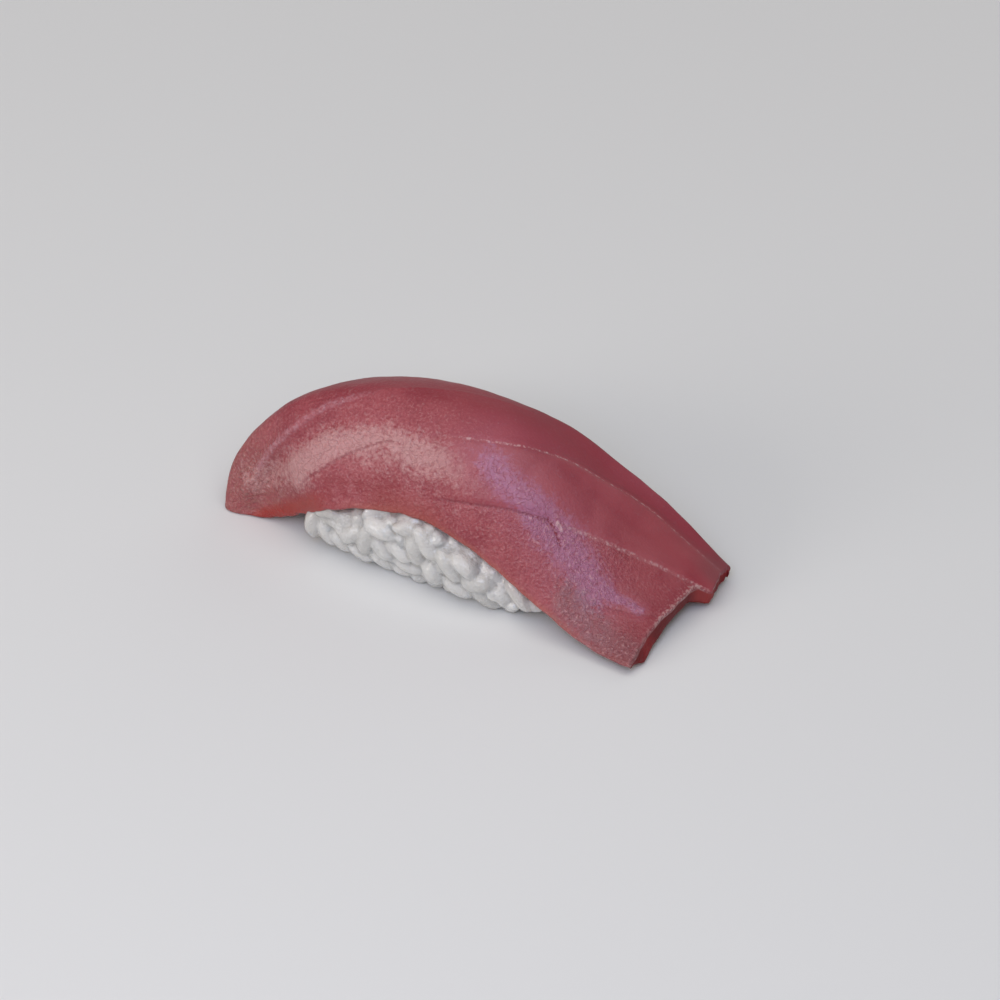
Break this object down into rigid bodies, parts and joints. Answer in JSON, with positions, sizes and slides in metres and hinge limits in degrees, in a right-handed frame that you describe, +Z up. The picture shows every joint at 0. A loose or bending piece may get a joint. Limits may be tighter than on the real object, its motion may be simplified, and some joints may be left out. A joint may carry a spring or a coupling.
{
  "type": "tuna nigiri",
  "caption": "Slice of raw lean tuna draped lengthwise over an oblong hand-pressed block of cooked rice, one end hanging down to the plate.",
  "frame": {"origin": "middle of the rice block's flat base, on the surface it stands on", "axes": "+X along the slice towards its thin, free right end, +Y towards the back, +Z up"},
  "size_m": [0.0744, 0.0279, 0.0269],
  "materials": {
    "tuna_flesh": "moist raw fish, satin with a fine sparkle, wine red",
    "cooked_rice": "glossy, slightly translucent warm white grains"
  },
  "bodies": {
    "root": {"tuna_slice": "tuna_flesh", "rice_block": "cooked_rice"}
  },
  "joints": []
}
